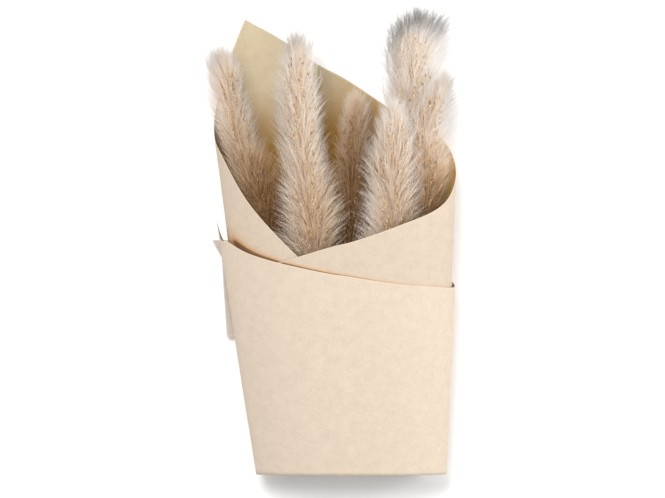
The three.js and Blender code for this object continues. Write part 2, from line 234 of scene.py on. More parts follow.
def kraft_paper(name, body_colour, fleck_colour, edge_colour, shade_colours=None, painted_glow_colour=None):
    """Uncoated light kraft paper: matt, with clouded fibre, scattered flecks and a pale cut edge.
    The fibre clouds are drawn about 2 mm wide and the mottling 9 mm, as coarse as they need to
    show. With painted shade the colour goes over to the shade colours, and with painted light
    to the light colour given."""
    material, tree = shading(name)
    place = add_node(tree, "ShaderNodeTexCoord")
    at = {"Vector": place.outputs["Object"]}
    cloud = add_node(tree, "ShaderNodeTexNoise",
                     {"Scale": 1 / (CLOUD_WIDTH * MM), "Detail": 4.0, "Roughness": 0.65}, at)
    mottle = add_node(tree, "ShaderNodeTexNoise",
                      {"Scale": 1 / (MOTTLE_WIDTH * MM), "Detail": 3.0, "Roughness": 0.6}, at)
    fleck = add_node(tree, "ShaderNodeTexNoise",
                     {"Scale": 1 / (FLECK_WIDTH * MM), "Detail": 2.0, "Roughness": 0.5}, at)
    cloud_tone, mottle_tone = (
        add_node(tree, "ShaderNodeMapRange",
                 {"From Min": NOISE_RANGE[0], "From Max": NOISE_RANGE[1], "To Min": low, "To Max": high},
                 {"Value": noise.outputs["Fac"]})
        for noise, (low, high) in ((cloud, CLOUD_TONES), (mottle, MOTTLE_TONES)))
    tone = add_node(tree, "ShaderNodeMath", {"operation": "MULTIPLY"},
                    {0: cloud_tone.outputs["Result"], 1: mottle_tone.outputs["Result"]})
    body = add_node(tree, "ShaderNodeMix",
                    {"data_type": "RGBA", "blend_type": "MULTIPLY", "Factor": 1.0, "A": linear(body_colour)},
                    {"B": tone.outputs["Value"]})
    fleck_mask = add_node(tree, "ShaderNodeMapRange",
                          {"From Min": FLECK_RANGE[0], "From Max": FLECK_RANGE[1], "To Max": FLECK_STRENGTH},
                          {"Value": fleck.outputs["Fac"]})
    coloured = add_node(tree, "ShaderNodeMix", {"data_type": "RGBA", "B": linear(fleck_colour)},
                        {"Factor": fleck_mask.outputs["Result"], "A": body.outputs["Result"]})
    if shade_colours:
        shade = add_node(tree, "ShaderNodeAttribute", {"attribute_name": "shade"})
        shade_colour = add_node(tree, "ShaderNodeValToRGB", links={"Fac": shade.outputs["Fac"]})
        ramp_colours(shade_colour, shade_colours)
        coloured = add_node(tree, "ShaderNodeMix", {"data_type": "RGBA"},
                            {"Factor": shade.outputs["Fac"], "A": coloured.outputs["Result"],
                             "B": shade_colour.outputs["Color"]})
    if painted_glow_colour:
        painted_glow = add_node(tree, "ShaderNodeAttribute", {"attribute_name": "painted_glow"})
        coloured = add_node(tree, "ShaderNodeMix", {"data_type": "RGBA", "B": linear(painted_glow_colour)},
                            {"Factor": painted_glow.outputs["Fac"], "A": coloured.outputs["Result"]})
    edge_map = add_node(tree, "ShaderNodeUVMap", {"uv_map": "OFBake"})
    edge_split = add_node(tree, "ShaderNodeSeparateXYZ", links={"Vector": edge_map.outputs["UV"]})
    edge = add_node(tree, "ShaderNodeMapRange",
                    {"From Min": 1 - CUT_EDGE[0] / EDGE_SPAN, "From Max": 1 - CUT_EDGE[1] / EDGE_SPAN},
                    {"Value": edge_split.outputs["Y"]})
    edged = add_node(tree, "ShaderNodeMix", {"data_type": "RGBA", "B": linear(edge_colour)},
                     {"Factor": edge.outputs["Result"], "A": coloured.outputs["Result"]})
    bump = add_node(tree, "ShaderNodeBump", {"Strength": 0.25, "Distance": 0.4 * MM},
                    {"Height": cloud.outputs["Fac"]})
    surface = add_node(tree, "ShaderNodeBsdfPrincipled",
                       {"Roughness": 0.82, "IOR": 1.45, "Specular IOR Level": 0.3},
                       {"Base Color": edged.outputs["Result"], "Normal": bump.outputs["Normal"]})
    add_node(tree, "ShaderNodeOutputMaterial", links={"Surface": surface.outputs["BSDF"]})
    return material


# Painted shade: brown in the crevice behind the band's edge and golden deep inside the mouth; painted light:
# pale gold on the right wall inside.
kraft_outside = kraft_paper("kraft paper, smooth side", "#beae9c", "#a68b69", "#c4b4a2",
                            ((0.0, "#c99c55"), (0.45, "#c08c42"), (0.75, "#a0703a"), (1.0, "#56341a")))
kraft_inside = kraft_paper("kraft paper, rough side", "#b5a68b", "#97805f", "#cdbda2",
                           ((0.0, "#966a10"), (1.0, "#8d640f")), "#ffd48a")

left_edge = smooth_curve(LEFT_EDGE)
right_edge = smooth_curve(RIGHT_EDGE)


def inner_edge(turn):
    return np.where(turn < APEX_TURN, left_edge(turn), right_edge(turn))


# The outer sheet's top edge, in turns and heights: a crevice opens behind it towards the left.
# The crevice's painted shade, its darkness and its width in mm, is given at turns round the inner sheet.
BAND_EDGE = (
    (240, 2), (285, -12), (360, -42.5), (405, -43), (431, -39), (470, -23.5),
    (498, -10.7), (517, 0.4), (531, 3.3), (540, 19), (549, 8), (562.5, -8), (577.5, -14),
)
CREVICE_PAINTED_DARK = (
    (130, 0.92), (158, 0.95), (168, 0.6), (180, 0.25), (192, 0), (410, 0.15), (440, 0.75), (490, 0.85),
)
CREVICE_WIDTH = ((90, 1.1), (120, 1.7), (145, 3.8), (152, 6), (160, 7.5), (180, 4.5))
MOUTH_TOP_Y, MOUTH_DEEP_Y = 168.0, 101.0    # where the painted shade in the mouth starts and is full
MOUTH_SLOPE = 0.25                          # it starts lower at the left
# Towards the open lower end the painted shade in the mouth fades to this share.
OPEN_END_Y, OPEN_END_DEEP_Y = -190.0, -80.0
OPEN_END_SHADE = 0.15
LIT_TURN, LIT_TURN_WIDTH = 338.0, 32.0      # the right wall inside, where light is painted on
LIT_FROM_Y, LIT_FULL_Y = 12.0, 34.0
LIT_WALL_PAINTED_GLOW = 0.8
band_edge = smooth_curve(BAND_EDGE)


def band_top(turn):
    """The height of the band's edge over a point of the inner sheet."""
    return band_edge(np.where(turn < BAND_EDGE[0][0], turn + 360, turn))


def inner_shade(turn, x, y, depth):
    """The painted shade is, outside, how close a point is to the crevice and, inside, how deep it
    lies in the mouth. The painted light is on the right wall, inside only."""
    round_turn = np.where(turn > 450, turn - 360, turn)
    dark = np.interp(round_turn, *zip(*CREVICE_PAINTED_DARK))
    width = np.interp(turn % 360, *zip(*CREVICE_WIDTH))
    crevice = dark * np.exp(-np.maximum(y - band_top(turn), 0) / width)
    open_end = np.maximum(fade(y, OPEN_END_Y, OPEN_END_DEEP_Y), OPEN_END_SHADE)
    mouth = fade(y - MOUTH_SLOPE * x, MOUTH_TOP_Y, MOUTH_DEEP_Y) * open_end
    lit_wall = np.exp(-((turn - LIT_TURN) / LIT_TURN_WIDTH) ** 2) * fade(y, LIT_FROM_Y, LIT_FULL_Y)
    inside = depth > 0
    return np.where(inside, mouth, crevice), LIT_WALL_PAINTED_GLOW * lit_wall * inside


# Rows lie closest just over the band's edge, where the crevice's painted shade is drawn.
LOW_SHARE, CLOSE_SHARE = 0.4, 0.7       # of the rows, up to the band's edge and past the crevice
CREVICE_HEIGHT = 16.0
EDGE_ROOM = 26.0                        # at least so much of the sheet is left above their start
LOW_ROWS, CLOSE_ROWS, HIGH_ROWS = 22, 28, 40


def inner_point(turn, share, depth):
    top = inner_edge(turn)
    edge_y = np.minimum(band_top(turn), top - EDGE_ROOM)
    low = INNER_BOTTOM_Y + (edge_y - INNER_BOTTOM_Y) * share / LOW_SHARE
    close = edge_y + CREVICE_HEIGHT * (share - LOW_SHARE) / (CLOSE_SHARE - LOW_SHARE)
    high_share = (share - CLOSE_SHARE) / (1 - CLOSE_SHARE)
    high = edge_y + CREVICE_HEIGHT + (top - edge_y - CREVICE_HEIGHT) * high_share
    y = np.where(share < LOW_SHARE, low, np.where(share < CLOSE_SHARE, close, high))
    inset = LAYER_PITCH * fade(turn, *LEFT_FLAP_TURNS)
    x, z = oval_point(inner_oval(y), turn, inset + depth - buckle(turn, y))
    return x, y, np.maximum(z, TABLE_GAP + depth), top - y


inner_turns = np.arange(LEFT_EDGE[0][0], RIGHT_EDGE[-1][0] + 0.01, COLUMN_TURN)
rows_up = np.concatenate([
    np.linspace(0, LOW_SHARE, LOW_ROWS),
    np.linspace(LOW_SHARE + 0.01, CLOSE_SHARE - 0.01, CLOSE_ROWS),
    np.linspace(CLOSE_SHARE, 0.99, HIGH_ROWS),
    (0.995, 1),
])
wrap_inner = sheet_piece("kraft_sheet_inner", inner_turns, rows_up, inner_point,
                         kraft_outside, kraft_inside, inner_shade)
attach(wrap_inner, "root")
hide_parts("wrap_inner")

# ---- Outer sheet ---------------------------------------------------------------------
# A second, lower sheet of the same paper, rolled loosely round the first as a band. Its free
# end lies flat under the bundle and sticks out at the left with a dog-eared corner, and its
# other end is tucked in. At the left it stands clear of the inner sheet.
OUTER_LEFT, OUTER_RIGHT = (-75.2, -126.6), (112.0, 126.4)
OUTER_DIP = 6.5
BAND_LIFT = 2.2
TUCKED_TURNS = (450.0, 540.0)   # over which the tucked end dips under
BAND_ROWS = (0, 0.29, 0.574, 0.584, 0.8, 0.926, 1)      # shares of the height
FLAP_EDGE_X = (-60, -60, -60, -103, -106.3, -107.8, -117.6)
FLAP_CURL, FLAP_CURL_WIDTH = 6.0, 50.0
FLAP_COLUMNS = 40
FLAP_END_TURN = BAND_EDGE[0][0] - FLAP_COLUMNS * COLUMN_TURN
EVEN_ROWS, EDGE_ROWS = 56, 4


def outer_oval(y):
    return oval_at(y, OUTER_LEFT, OUTER_RIGHT, BAND_LIFT, 0, OUTER_DIP)


def band_point(column_turn, share, depth):
    """Columns before the first turn are the flap: they run out flat along the table."""
    turn = np.maximum(column_turn, BAND_EDGE[0][0])
    outward = fade(column_turn, BAND_EDGE[0][0], FLAP_END_TURN)
    top = band_edge(turn)
    y = SLEEVE_BOTTOM_Y + (top - SLEEVE_BOTTOM_Y) * share
    inset = LAYER_PITCH * fade(turn, *TUCKED_TURNS)
    x, z = oval_point(outer_oval(y), turn, inset + depth - buckle(turn, y) * (outward == 0))
    width = (x - np.interp(share, BAND_ROWS, FLAP_EDGE_X)) * outward
    return x - width, y, np.maximum(z, depth) + FLAP_CURL * (width / FLAP_CURL_WIDTH) ** 2, top - y


band_turns = np.arange(FLAP_END_TURN, BAND_EDGE[-1][0] + 0.01, COLUMN_TURN)
band_rows = np.concatenate([np.linspace(0, 0.99, EVEN_ROWS), np.linspace(0.99, 1, EDGE_ROWS), BAND_ROWS])
kraft_band = kraft_paper("kraft paper, smooth side of the band", "#c5b5a3", "#ad916e", "#cabaa8")
kraft_pale_back = kraft_paper("kraft paper, pale back of the band", "#c1b8ad", "#a79e92", "#c8c0b6")
wrap_outer = sheet_piece("kraft_sheet_outer", band_turns, np.unique(band_rows.round(4)), band_point,
                         kraft_band, kraft_pale_back)
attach(wrap_outer, "root")
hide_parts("wrap_outer")

# ---- Plumes --------------------------------------------------------------------------
# Each head is a panicle: a spine with hundreds of thin branches swept up and out, each
# ending in a brush of silky hair, with slim golden spikelets among them.

# The plumes from left to right; the third is at the back in shade and the fifth the tallest.
# axis: x, y and z from the tip down to the foot. cut: x and z of the culm's lower end.
# reach: how far the hair stands out, and crown: the share of that at the tip. fluff: how much
# of it is filled. flare: how much wider it is, and below what height. sway: how far the axis is
# shifted in x. bulge: a height, and how much further out the hair stands there at the left and
# at the right. silver: how grey the hair is at the left rim, the right rim and the tip, with
# grey_from as the rims' lowest height. dim: how much browner all of it is, and shade: how much
# browner low down. side_shade: how much browner the right side is, and up to what height.
# dim, shade and side_shade are painted shade, drawn as browner hair; a dim below 0 is painted light.
PLUMES = (
    dict(axis=((-108, 190, 50), (-99.5, 148, 50), (-91.5, 109, 50), (-79, 62, 48), (-56, -8, 44),
               (-44, -44, 40)),
         cut=(6, 4.9), reach=25.5, crown=0.68, fluff=1.08, flare=(0.35, 115), sway=0,
         bulge=((190, 0, -4), (160, 2, -7), (135, 4, -6), (115, 6, -4), (95, 3, 0), (75, 0, 0)),
         silver=(0.4, 0.05, 0.35), grey_from=95, dim=0.08, shade=0.64, side_shade=(0.4, 115)),
    dict(axis=((-32.5, 206, 56), (-31, 157, 62), (-29, 128, 65), (-26, 89, 67), (-20, 32, 66),
               (-10, -50, 56)),
         cut=(9.5, 8.9), reach=31, crown=0.42, fluff=0.96, flare=(0.2, 50), sway=-2.0,
         bulge=((203, 0, 4), (185, 0, 3), (160, 0, -4), (115, 1, -4), (85, 0, 0), (65, 2, 7),
                (30, 4, 8), (12, 4, 0), (0, 4, -3)),
         silver=(0.35, 0.15, 0.5), grey_from=60, dim=0, shade=0.2, side_shade=(0.1, 115)),
    dict(axis=((23, 147, 26), (20, 110, 27), (17.5, 41, 29), (15, -6, 31), (14, -48, 31)),
         cut=(13, 4.9), reach=26, crown=0.6, fluff=0.87, flare=(0.2, 50), sway=2.0,
         bulge=((0, 0, 0),),
         silver=(0.1, 0.1, 0.1), grey_from=60, dim=0.26, shade=0.55, side_shade=(0, 115)),
    dict(axis=((61, 139, 60), (61, 109, 64), (59.5, 60, 66), (58, 7, 65), (52, -48, 57)),
         cut=(16.5, 8.9), reach=34, crown=0.45, fluff=0.95, flare=(0.2, 50), sway=0,
         bulge=((125, 0, 0), (105, 3, 0), (60, 4, 0), (40, 1, 0), (0, 0, 0)),
         silver=(0.2, 0.1, 0.1), grey_from=60, dim=0, shade=0.1, side_shade=(0.35, 65)),
    dict(axis=((87, 228.5, 38), (79.5, 185, 38), (77.5, 138, 36), (74, 99, 33), (66, 40, 30),
               (58, -50, 30)),
         cut=(20, 4.9), reach=37, crown=0.92, fluff=0.92, flare=(0.2, 50), sway=-1.0,
         bulge=((228, -2, 7), (208, 1, 5), (190, 1, 1), (170, -2, 0), (140, 0, 0)),
         silver=(0.8, 0.25, 1.45), grey_from=132, dim=-0.15, shade=0.1, side_shade=(0, 115)),
    dict(axis=((109, 168, 52), (104, 147, 53), (93, 119, 52), (91, 41, 49), (84, -44, 42)),
         cut=(27, 4.9), reach=32, crown=0.34, fluff=0.97, flare=(0.2, 50), sway=0.5,
         bulge=((0, 0, 0),),
         silver=(0.0, 0.8, 0.2), grey_from=80, dim=0, shade=0.67, side_shade=(0.12, 115)),
)
SWAY_LENGTH = 60.0              # above the foot, over which the sway grows
CROWN_LENGTH = 62.0             # below the tip, over which the head widens
TIP_ROUND, TIP_ROUND_SHARE = 24, 0.8    # the tip's radius, or this share of its reach if less
FOOT_SHARE, FOOT_LENGTH = 0.45, 70.0    # how wide it is at the foot, and the mm for a width more


def axis_of(plume):
    """The axis's x and z as functions of y, and the heights of its foot and its tip."""
    upwards = plume["axis"][::-1]
    foot_y = upwards[0][1]
    x_at = smooth_curve([(y, x + plume["sway"] * min((y - foot_y) / SWAY_LENGTH, 1)) for x, y, z in upwards])
    z_at = smooth_curve([(y, z) for x, y, z in upwards])
    return x_at, z_at, foot_y, upwards[-1][1]


def outline_at(plume, y, foot_y, tip_y):
    """How far the hair reaches from the axis at height y: round at the tip and at the foot."""
    crown = plume["crown"] + (1 - plume["crown"]) * fade(y, tip_y, tip_y - CROWN_LENGTH)
    tip_round = min(TIP_ROUND, TIP_ROUND_SHARE * plume["crown"] * plume["reach"])
    cap = np.sqrt(1 - fade(y, tip_y - tip_round, tip_y) ** 2)
    return plume["reach"] * crown * cap * np.clip(FOOT_SHARE + (y - foot_y) / FOOT_LENGTH, 0, 1)


def bulge_at(plume, y, angle):
    """How much further out than the outline, in mm, the head stands at its left or its right."""
    heights, left, right = np.array(plume["bulge"][::-1], float).T
    across = np.cos(angle)
    at_left = np.interp(y, heights, left) * np.maximum(-across, 0)
    return at_left + np.interp(y, heights, right) * np.maximum(across, 0)


def round_axis(x_at, z_at, y, out, angle):
    """The point at height y that lies out mm from the axis, in the direction angle."""
    return np.stack([x_at(y) + out * np.cos(angle), y, z_at(y) + out * np.sin(angle)], -1)


def way_out(angle):
    return np.stack([np.cos(angle), np.zeros(len(angle)), np.sin(angle)], -1)


def unit(vectors):
    return vectors / np.maximum(np.linalg.norm(vectors, axis=-1, keepdims=True), 1e-9)


HAIR_CLEARANCE = 0.5            # from the paper
PAPER_HOLD = 0.3                # how much wider the paper lets it be for each mm above its edge
ON_PAPER_HEIGHT, ON_TABLE_HEIGHT = 0.3, 0.4
NO_FLAP_Y = -300.0              # stands for a flap that isn't there


def kept_in_paper(points):
    """Hair that would pass through the paper is bent along its inner face."""
    x, y, z = points.T
    centre_x, centre_z, half_width, half_height, floor = inner_oval(y)
    across = rounded_power((x - centre_x) / half_width, OVAL_POWER / 2)
    up = rounded_power((z - centre_z) / half_height, OVAL_POWER / 2)
    turn = np.degrees(np.arctan2(up, across)) % 360
    left_top = np.where(turn < APEX_TURN, left_edge(np.maximum(turn, LEFT_EDGE[0][0])), NO_FLAP_Y)
    right_top = np.where(turn < APEX_TURN, right_edge(turn + 360), right_edge(turn))
    paper_top = np.maximum(left_top, right_top)
    inset = LAYER_PITCH + SHEET_THICKNESS + HAIR_CLEARANCE - PAPER_HOLD * np.maximum(y - paper_top, 0)
    reach = (np.abs((x - centre_x) / (half_width - inset)) ** OVAL_POWER
             + np.abs((z - centre_z) / (half_height - inset)) ** OVAL_POWER)
    shrink = np.maximum(reach, 1) ** (-1 / OVAL_POWER)
    kept = np.stack([centre_x + (x - centre_x) * shrink, y, centre_z + (z - centre_z) * shrink], -1)
    lowest = np.where(y < paper_top, floor + SHEET_THICKNESS + ON_PAPER_HEIGHT, ON_TABLE_HEIGHT)
    kept[:, 2] = np.maximum(kept[:, 2], lowest)
    return kept


OFF_AXIS = np.array([0.31, 0.2, 0.93])  # a direction that no strand runs along


def needles(lines, radii, sides=3):
    """Closed needles along lines (count, rings + tip, 3), with a radius for each ring."""
    count, stops, _ = lines.shape
    rings = stops - 1
    along = unit(np.gradient(lines, axis=1))
    helper = unit(np.cross(along, OFF_AXIS))
    third = np.cross(along, helper)
    angle = np.arange(sides) * 2 * np.pi / sides
    spoke = helper[:, :rings, None] * np.cos(angle)[:, None] + third[:, :rings, None] * np.sin(angle)[:, None]
    ring_points = lines[:, :rings, None] + spoke * np.asarray(radii, float)[..., :rings, None, None]
    points = np.concatenate([ring_points.reshape(count, rings * sides, 3), lines[:, -1:]], 1)
    size = rings * sides + 1
    faces = []
    for ring in range(rings - 1):
        for side in range(sides):
            a, b = ring * sides + side, ring * sides + (side + 1) % sides
            faces += [(a, b, b + sides), (a, b + sides, a + sides)]
    last = (rings - 1) * sides
    faces += [(last + side, last + (side + 1) % sides, size - 1) for side in range(sides)]
    faces += [(0, side + 1, side) for side in range(1, sides - 1)]
    offsets = (np.arange(count) * size)[:, None, None]
    return points.reshape(-1, 3), (np.array(faces)[None] + offsets).reshape(-1, 3)


UV_MARGIN = 0.002               # keeps the colours off the border of the UV map


def strand_uv(rings, sides, tone, start, end):
    """u is the strand's tone, v runs from start at its root to end at its tip."""
    share = np.append(np.repeat(np.arange(rings) / rings, sides), 1.0)
    v = start[:, None] + (end - start)[:, None] * share[None]
    u = np.repeat(tone[:, None], len(share), 1)
    return np.clip(np.stack([u, v], -1), UV_MARGIN, 1 - UV_MARGIN).reshape(-1, 2)


BRANCH_STEP = 0.8               # along the spine, from one branch to the next
BRANCH_LENGTH = 44.0
BRANCH_SIZES = (0.72, 1.15)
BRANCH_ROOM = (0.45, 0.86)      # of the way up to the head's tip
BRANCH_REACH = (0.62, 0.92)     # of the outline
BRANCHES_FROM, BRANCHES_END = 2.0, 14.0     # above the foot and below the tip
GOLDEN_TURN = 137.508           # from one branch to the next, as in many plants
GOLDEN_STRAY = 9.0
SPINE_RADIUS = 1.5
BEND_HEIGHT, BEND_OUT = 0.35, 0.6           # shares of the branch


def branch_lines(plume, draw):
    """Root, bend and tip of each branch, as arrays of points."""
    x_at, z_at, foot_y, tip_y = axis_of(plume)
    root_y = np.arange(foot_y + BRANCHES_FROM, tip_y - BRANCHES_END, BRANCH_STEP)
    count = len(root_y)
    stray = draw.uniform(-GOLDEN_STRAY, GOLDEN_STRAY, count)
    angle = np.radians(np.arange(count) * GOLDEN_TURN + stray)
    room = (tip_y - root_y) * draw.uniform(*BRANCH_ROOM, count)
    length = np.minimum(BRANCH_LENGTH * draw.uniform(*BRANCH_SIZES, count), room)
    outline = outline_at(plume, root_y + length, foot_y, tip_y)
    reach = outline * draw.uniform(*BRANCH_REACH, count) * plume["fluff"]
    return (round_axis(x_at, z_at, root_y, SPINE_RADIUS, angle),
            round_axis(x_at, z_at, root_y + length * BEND_HEIGHT, reach * BEND_OUT, angle),
            round_axis(x_at, z_at, root_y + length, reach, angle))


def along_bend(root, bend, tip, share):
    """The points at a share of the way along bent lines."""
    return root * (1 - share) ** 2 + bend * 2 * share * (1 - share) + tip * share ** 2


def strand_material(name, low_tone_colours, high_tone_colours, roughness, specular):
    """The colour runs along a strand with v, and goes from the one ramp to the other with u."""
    material, tree = shading(name)
    strand = add_node(tree, "ShaderNodeUVMap", {"uv_map": "OFBake"})
    split = add_node(tree, "ShaderNodeSeparateXYZ", links={"Vector": strand.outputs["UV"]})
    low_tone = add_node(tree, "ShaderNodeValToRGB", links={"Fac": split.outputs["Y"]})
    ramp_colours(low_tone, low_tone_colours)
    high_tone = add_node(tree, "ShaderNodeValToRGB", links={"Fac": split.outputs["Y"]})
    ramp_colours(high_tone, high_tone_colours)
    colour = add_node(tree, "ShaderNodeMix", {"data_type": "RGBA"},
                      {"Factor": split.outputs["X"], "A": low_tone.outputs["Color"],
                       "B": high_tone.outputs["Color"]})
    surface = add_node(tree, "ShaderNodeBsdfPrincipled",
                       {"Roughness": roughness, "IOR": 1.5, "Specular IOR Level": specular},
                       {"Base Color": colour.outputs["Result"]})
    add_node(tree, "ShaderNodeOutputMaterial", links={"Surface": surface.outputs["BSDF"]})
    return material


# Dried pampas hair: fine, pale and silky, warm brown at the root and nearly white at the tip,
# or silver-grey at a high tone. It has a soft sheen and no gloss.
pampas_hair = strand_material(
    "dried pampas hair, silky",
    ((0.0, "#6c441f"), (0.25, "#bf9259"), (0.5, "#ebd5b8"), (0.75, "#f8f1e9"), (1.0, "#fefcfa")),
    ((0.0, "#9c8268"), (0.3, "#dccfc2"), (0.52, "#d6cfca"), (0.72, "#8f8a87"), (1.0, "#4c4947")),
    roughness=0.6, specular=0.2)


def dried_straw(name):
    """Dried grass straw and husks: golden at the base, browner to the tip, faintly shiny."""
    return strand_material(
        name,
        ((0.0, "#dfc9a2"), (0.4, "#d8bd8e"), (0.75, "#b08957"), (1.0, "#6e4d33")),
        ((0.0, "#b08d62"), (0.35, "#96714a"), (0.7, "#74543a"), (1.0, "#54392a")),
        roughness=0.65, specular=0.3)


pampas_straw = dried_straw("dried grass husk and straw")

# Where a lock of hair ends: within the outline, which stands past the axis's tip.
LOCKS_A_MM = 31                 # for each mm of the head's length
HAIRS_A_LOCK = 2
HAIR_PAST_TIP = 9.0
LOCKS_FROM, LOCKS_PAST_TIP = 14.0, 8.0      # above the foot, and past the axis's tip
CROWD_STEPS = 160
FOOT_CROWD, FOOT_CROWD_LENGTH = 0.3, 50.0
TIP_CROWD_LENGTH = 30.0
LOW_CROWD, LOW_CROWD_Y = 0.3, (70.0, 30.0)
EDGE_SPREAD = (2.1, 1.0)        # of a beta draw: most locks end near the outline
OUT_SPREAD = (1.08, 0.1)        # mean and spread of a normal draw, as in the pairs below
FLARE_LENGTH = 50.0
# How a lock leans, in degrees: inside, and more towards the edge, below the tip, in the mouth.
LEAN, EDGE_LEAN, ROOM_LEAN, MOUTH_LEAN, LEAN_SPREAD = 6.0, 16.0, 20.0, 16.0, 5.0
ROOM_LENGTH = 60.0
MOUTH_LEAN_Y = (95.0, 25.0)
TIP_CURL, ROOT_CURL = 0.1, -0.14            # radians
HEADING_SPREAD = 0.05
AXIS_STEP = 8.0
# Its hairs.
HAIR_LENGTH = 27.0
HAIR_SIZES = (0.7, 1.15)
HAIR_RADIUS = 0.075             # several times a real hair, as coarse as it needs to show
HAIR_RADII = (0.7, 1.25)
HAIR_TAPER = (1.0, 0.8)
HAIR_SPREADS = (0.7, 0.65, 0.6)             # within a lock, at the root, bend and tip
HAIR_SLIP = (-0.16, 0.04)                   # along the lock
PULL_IN = 1.5                   # the longest hairs are drawn in most where the paper is near
LEAST_OUT = 0.3
CARRIER_SHARES = np.linspace(0.1, 1, 10)    # of a branch, where hair can be rooted
ROOTED = 0.7                    # the share of the way that a root is moved to its branch
PRESSED = 6.0                   # moved so far by the paper, a hair counts as pressed


def hair_lines(plume, draw):
    """Locks of hair. Each ends at a place drawn inside the plume's outline, lies along the head
    and leans out towards its edge, and is rooted on the nearest branch. Gives the hairs' root,
    bend and tip, each lock's share of the way out and angle, and how far paper presses a hair."""
    branches = branch_lines(plume, draw)
    x_at, z_at, foot_y, tip_y = axis_of(plume)
    hair_tip_y = tip_y + HAIR_PAST_TIP
    heights = np.linspace(foot_y + LOCKS_FROM, tip_y + LOCKS_PAST_TIP, CROWD_STEPS)
    crowd = outline_at(plume, heights, foot_y, hair_tip_y)
    crowd *= np.maximum(fade(heights, foot_y, foot_y + FOOT_CROWD_LENGTH), FOOT_CROWD)
    crowd *= 1 + fade(heights, tip_y - TIP_CROWD_LENGTH, tip_y) + LOW_CROWD * fade(heights, *LOW_CROWD_Y)
    locks = int(LOCKS_A_MM * (tip_y - foot_y))
    y = np.interp(draw.uniform(0, 1, locks), np.cumsum(crowd) / crowd.sum(), heights)
    angle = draw.uniform(0, 2 * np.pi, locks)
    edge = draw.beta(*EDGE_SPREAD, locks)
    flare, flare_top = plume["flare"]
    spread = plume["fluff"] * (1 + flare * fade(y, flare_top, flare_top - FLARE_LENGTH))
    out = outline_at(plume, y, foot_y, hair_tip_y) * spread * edge * draw.normal(*OUT_SPREAD, locks)
    out += bulge_at(plume, y, angle) * edge
    edge_lean = EDGE_LEAN + MOUTH_LEAN * fade(y, *MOUTH_LEAN_Y)
    edge_lean += ROOM_LEAN * fade(y, tip_y, tip_y - ROOM_LENGTH)
    lean = np.radians(LEAN + edge_lean * edge + draw.normal(0, LEAN_SPREAD, locks))
    size = HAIR_LENGTH * draw.uniform(*HAIR_SIZES, locks)
    outward = way_out(angle)
    upward = unit(np.stack([x_at(y) - x_at(y - AXIS_STEP), np.full(locks, AXIS_STEP),
                            z_at(y) - z_at(y - AXIS_STEP)], -1))

    def heading(turn):
        straight = upward * np.cos(turn)[:, None] + outward * np.sin(turn)[:, None]
        return unit(straight + draw.normal(0, HEADING_SPREAD, (locks, 3)))

    free_end = round_axis(x_at, z_at, y, out, angle)
    outside = np.linalg.norm(kept_in_paper(free_end) - free_end, axis=-1)
    pull_in = 1 + PULL_IN * fade(size / HAIR_LENGTH, *HAIR_SIZES)
    tip = round_axis(x_at, z_at, y, np.maximum(out - pull_in * outside, LEAST_OUT * out), angle)
    bend = tip - heading(lean + TIP_CURL) * (size / 2)[:, None]
    root = bend - heading(lean + ROOT_CURL) * (size / 2)[:, None]
    carriers = np.concatenate([along_bend(*branches, share) for share in CARRIER_SHARES])
    tree = PointTree(len(carriers))
    for index, place in enumerate(carriers):
        tree.insert(place, index)
    tree.balance()
    root = (1 - ROOTED) * root + ROOTED * np.array([tree.find(point)[0] for point in root])
    lines = np.stack([points[:, None] + stray * draw.normal(0, 1, (locks, HAIRS_A_LOCK, 3))
                      for points, stray in zip((root, bend, tip), HAIR_SPREADS)], -2)
    lines += draw.uniform(*HAIR_SLIP, (locks, HAIRS_A_LOCK, 1, 1)) * (tip - root)[:, None, None]
    kept = kept_in_paper(lines.reshape(-1, 3)).reshape(-1, 3, 3)
    pressed = fade(np.linalg.norm(kept[:, 2] - lines[:, :, 2].reshape(-1, 3), axis=-1), 0, PRESSED)
    return kept, edge, angle, pressed


# The hair's tone, u: warm, and greyer at the rims and the tip.
TONE, RIM_TONE, LOW_TONE = 0.08, 0.12, -0.1
LOW_TONE_Y = (70.0, 20.0)
RIM_GREY, RIM_GREY_LENGTH = 0.9, 60.0
TIP_GREY_Y = (-12.2, 1.8)       # from the axis's tip
TIP_GREY_SLOPE = 0.25           # it reaches lower at the sides
TIP_GREY_SPREAD = (0.35, 1.4)
# The rims' painted light: the right rim gets this share of it, and it is full from this height up.
RIGHT_RIM, RIM_TOP_Y = 0.6, 30.0
HAIR_TONE_SPREAD, LOCK_TONE_SPREAD = 0.05, 0.06
# Its place along the colours, v: lighter at the edge, lighter at the rims with painted light, and browner
# with painted shade, also along the front parting.
LIFT, EDGE_LIFT, RIM_LIFT, FRONT_LIFT = 0.32, 0.06, 0.09, -0.04
FRONT_SINE = 5 / 6              # of the angle: hair past this faces the front
HAIR_LIFT_SPREAD, LOCK_LIFT_SPREAD = 0.03, 0.035
ROOT_V, TIP_V = 0.06, 0.66
LOW_SHADE, LOW_SHADE_Y = 0.7, (125.0, 35.0)
DEEP_SHADE = 0.42               # painted shade, low in the bundle and near its back
DEEP_Y, DEEP_Z = (125.0, 75.0), (46.0, 16.0)
PRESSED_SHADE = 0.2
RIM_SHADE, RIM_SHADE_Y = 0.04, (25.0, -10.0)
SIDE_SHADE_LENGTH = 50.0


